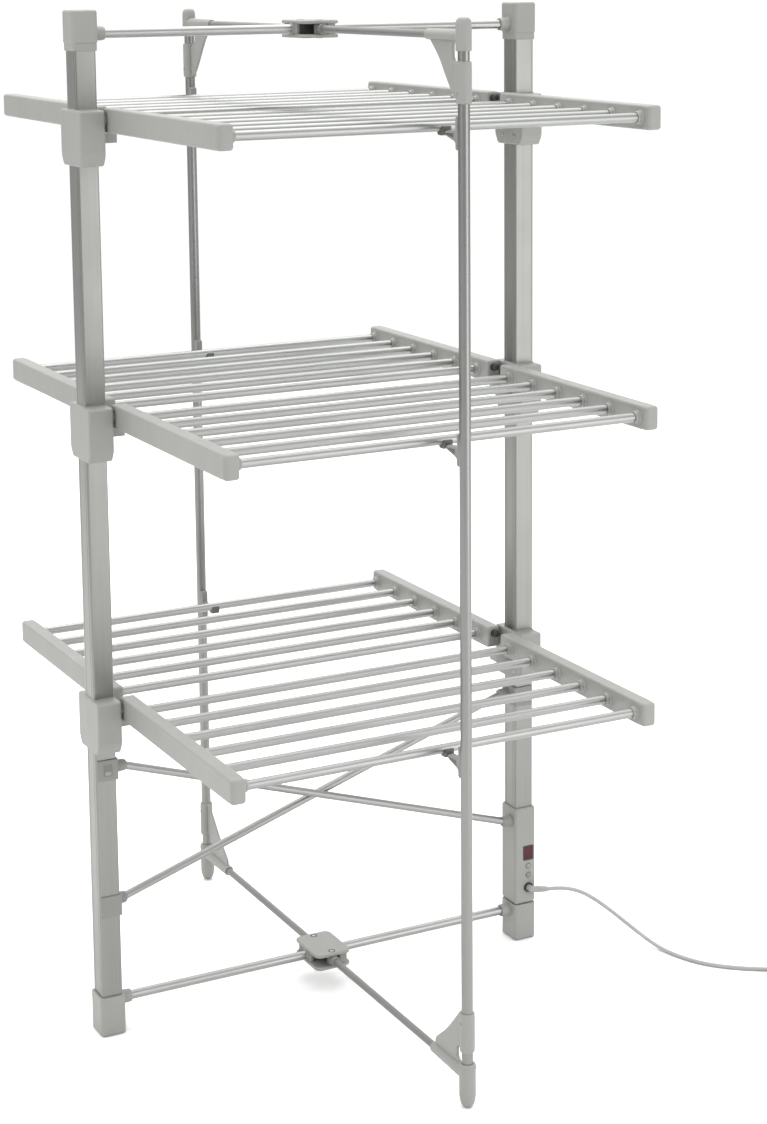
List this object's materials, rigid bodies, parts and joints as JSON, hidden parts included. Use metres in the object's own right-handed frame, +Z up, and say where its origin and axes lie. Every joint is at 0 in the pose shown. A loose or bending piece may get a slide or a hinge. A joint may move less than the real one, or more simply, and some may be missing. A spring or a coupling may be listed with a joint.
{
  "type": "heated clothes airer",
  "caption": "Free-standing electric tower airer with tiers of heated rods that fold down and gates that swing in to hold them, with a control box and mains cord.",
  "frame": {"origin": "on the floor, at the centre of the airer seen from above", "axes": "+Z up, +X along the rods towards the post with the control box, -Y towards the front wings"},
  "size_m": [1.0177, 0.882, 1.42],
  "materials": {
    "grey_plastic": "fine-grained light grey moulded plastic",
    "anodised": "satin grey anodised extrusion",
    "bright_tube": "bright satin drawn tube",
    "grey_paint": "semi-matte grey powder coat",
    "dark_red_window": "dark red tinted gloss window",
    "black_plastic": "black moulded plastic",
    "cord_sheath": "smooth light grey flexible sheath"
  },
  "bodies": {
    "stand": {"left_post": "anodised", "left_post_cap": "grey_plastic", "left_foot": "grey_plastic", "lower_left_bracket": "grey_plastic", "middle_left_bracket": "grey_plastic", "upper_left_bracket": "grey_plastic", "right_post": "anodised", "right_post_cap": "grey_plastic", "right_foot": "grey_plastic", "lower_right_bracket": "grey_plastic", "middle_right_bracket": "grey_plastic", "upper_right_bracket": "grey_plastic", "top_cross_bar": "bright_tube", "top_hub": "grey_plastic", "bottom_cross_bar": "bright_tube", "bottom_hub": "grey_plastic", "falling_brace": "grey_paint", "rising_brace": "grey_paint", "control_box": "grey_plastic", "display_window": "dark_red_window", "cord_gland": "black_plastic", "mains_cord": "cord_sheath", "cord_coil": "cord_sheath", "mains_plug": "cord_sheath"},
    "front_gate": {"front_pole": "anodised", "front_upper_arm": "grey_paint", "front_lower_arm": "grey_paint", "front_upper_corner": "grey_plastic", "front_lower_corner": "grey_plastic", "lower_front_catch": "grey_plastic", "middle_front_catch": "grey_plastic", "upper_front_catch": "grey_plastic"},
    "rear_gate": {"rear_pole": "anodised", "rear_upper_arm": "grey_paint", "rear_lower_arm": "grey_paint", "rear_upper_corner": "grey_plastic", "rear_lower_corner": "grey_plastic", "lower_rear_catch": "grey_plastic", "middle_rear_catch": "grey_plastic", "upper_rear_catch": "grey_plastic"},
    "lower_front_wing": {"lower_front_left_rail": "grey_plastic", "lower_front_right_rail": "grey_plastic", "lower_front_rods": "bright_tube"},
    "middle_front_wing": {"middle_front_left_rail": "grey_plastic", "middle_front_right_rail": "grey_plastic", "middle_front_rods": "bright_tube"},
    "upper_front_wing": {"upper_front_left_rail": "grey_plastic", "upper_front_right_rail": "grey_plastic", "upper_front_rods": "bright_tube"},
    "lower_rear_wing": {"lower_rear_left_rail": "grey_plastic", "lower_rear_right_rail": "grey_plastic", "lower_rear_rods": "bright_tube"},
    "middle_rear_wing": {"middle_rear_left_rail": "grey_plastic", "middle_rear_right_rail": "grey_plastic", "middle_rear_rods": "bright_tube"},
    "upper_rear_wing": {"upper_rear_left_rail": "grey_plastic", "upper_rear_right_rail": "grey_plastic", "upper_rear_rods": "bright_tube"},
    "upper_button_cap": {"upper_button": "grey_plastic"},
    "lower_button_cap": {"lower_button": "grey_plastic"}
  },
  "joints": [
    {"name": "front_gate_swing", "type": "hinge", "parent": "stand", "child": "front_gate", "pos_m": [0, -0.03, 0.717], "axis": [0, 0, -1], "range_deg": [0, 85]},
    {"name": "lower_front_wing_fold", "type": "hinge", "parent": "stand", "child": "lower_front_wing", "pos_m": [0, -0.028, 0.473], "axis": [1, 0, 0], "range_deg": [0, 85]},
    {"name": "middle_front_wing_fold", "type": "hinge", "parent": "stand", "child": "middle_front_wing", "pos_m": [0, -0.028, 0.88], "axis": [1, 0, 0], "range_deg": [0, 85]},
    {"name": "upper_front_wing_fold", "type": "hinge", "parent": "stand", "child": "upper_front_wing", "pos_m": [0, -0.028, 1.276], "axis": [1, 0, 0], "range_deg": [0, 85]},
    {"name": "rear_gate_swing", "type": "hinge", "parent": "stand", "child": "rear_gate", "pos_m": [0, 0.03, 0.717], "axis": [0, 0, -1], "range_deg": [0, 85]},
    {"name": "lower_rear_wing_fold", "type": "hinge", "parent": "stand", "child": "lower_rear_wing", "pos_m": [0, 0.028, 0.473], "axis": [-1, 0, 0], "range_deg": [0, 85]},
    {"name": "middle_rear_wing_fold", "type": "hinge", "parent": "stand", "child": "middle_rear_wing", "pos_m": [0, 0.028, 0.88], "axis": [-1, 0, 0], "range_deg": [0, 85]},
    {"name": "upper_rear_wing_fold", "type": "hinge", "parent": "stand", "child": "upper_rear_wing", "pos_m": [0, 0.028, 1.276], "axis": [-1, 0, 0], "range_deg": [0, 85]},
    {"name": "upper_button_press", "type": "slide", "parent": "stand", "child": "upper_button_cap", "axis": [0, 1, 0], "range_m": [0, 0.001], "stiffness_N_per_m": 600},
    {"name": "lower_button_press", "type": "slide", "parent": "stand", "child": "lower_button_cap", "axis": [0, 1, 0], "range_m": [0, 0.001], "stiffness_N_per_m": 600}
  ],
  "couplings": [
    {"joint": "lower_front_wing_fold", "follows": "front_gate_swing", "ratio": 1},
    {"joint": "middle_front_wing_fold", "follows": "front_gate_swing", "ratio": 1},
    {"joint": "upper_front_wing_fold", "follows": "front_gate_swing", "ratio": 1},
    {"joint": "lower_rear_wing_fold", "follows": "rear_gate_swing", "ratio": 1},
    {"joint": "middle_rear_wing_fold", "follows": "rear_gate_swing", "ratio": 1},
    {"joint": "upper_rear_wing_fold", "follows": "rear_gate_swing", "ratio": 1}
  ]
}
